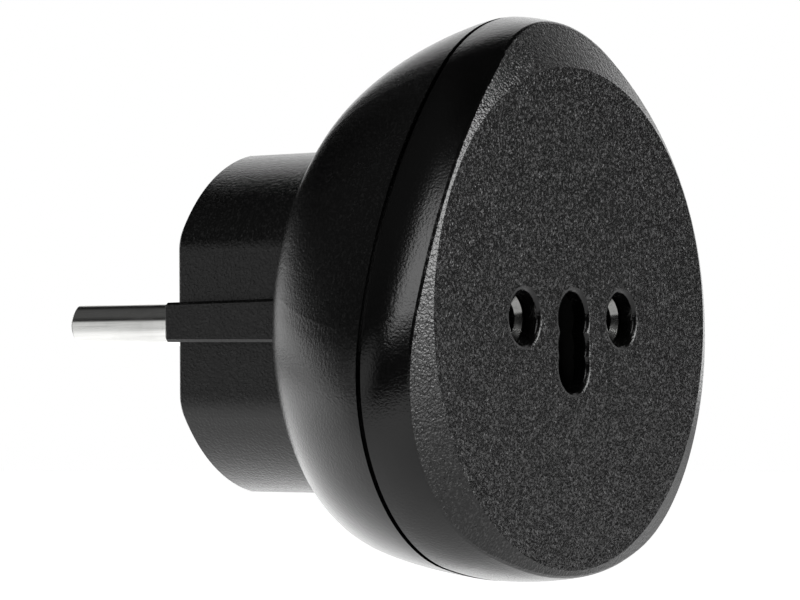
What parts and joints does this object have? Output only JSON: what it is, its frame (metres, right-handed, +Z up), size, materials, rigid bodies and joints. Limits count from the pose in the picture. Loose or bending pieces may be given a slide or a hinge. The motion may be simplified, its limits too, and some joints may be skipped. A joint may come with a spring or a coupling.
{
  "type": "travel adapter",
  "caption": "Rounded three-cornered plug adapter: flat socket face with round holes and an earth slot, on a round recessed-socket plug with pins.",
  "frame": {"origin": "centre of the plug's flat end face", "axes": "+Y along the plug pins towards the wall socket, +Z up towards the narrow top of the body, +X to the right seen from the socket face"},
  "size_m": [0.0612, 0.0578, 0.0598],
  "materials": {
    "face_plastic": "black, fine spark-eroded texture on the face and satin on the wall",
    "shell_plastic": "black satin",
    "plug_plastic": "black, fine grain",
    "carrier_plastic": "dark grey, plain moulded",
    "plated_pin": "polished, nickel plated",
    "tinned_contact": "rolled sheet, tin plated, satin",
    "plated_sheet": "satin, nickel plated sheet",
    "spring_steel": "blued grey, fine rolled grain",
    "screw_steel": "zinc plated"
  },
  "bodies": {
    "root": {"front_cover": "face_plastic", "rear_housing": "shell_plastic", "plug_body": "plug_plastic", "plug_pin_left": "plated_pin", "plug_pin_right": "plated_pin", "line_contact_left": "tinned_contact", "line_contact_right": "tinned_contact", "contact_spring_left": "spring_steel", "contact_spring_right": "spring_steel", "earth_contact": "tinned_contact", "earth_spring": "spring_steel", "earth_bow": "plated_sheet", "earth_pin_sleeve": "tinned_contact", "earth_rivets": "plated_sheet", "contact_carrier": "carrier_plastic", "carrier_screws": "screw_steel"}
  },
  "joints": []
}
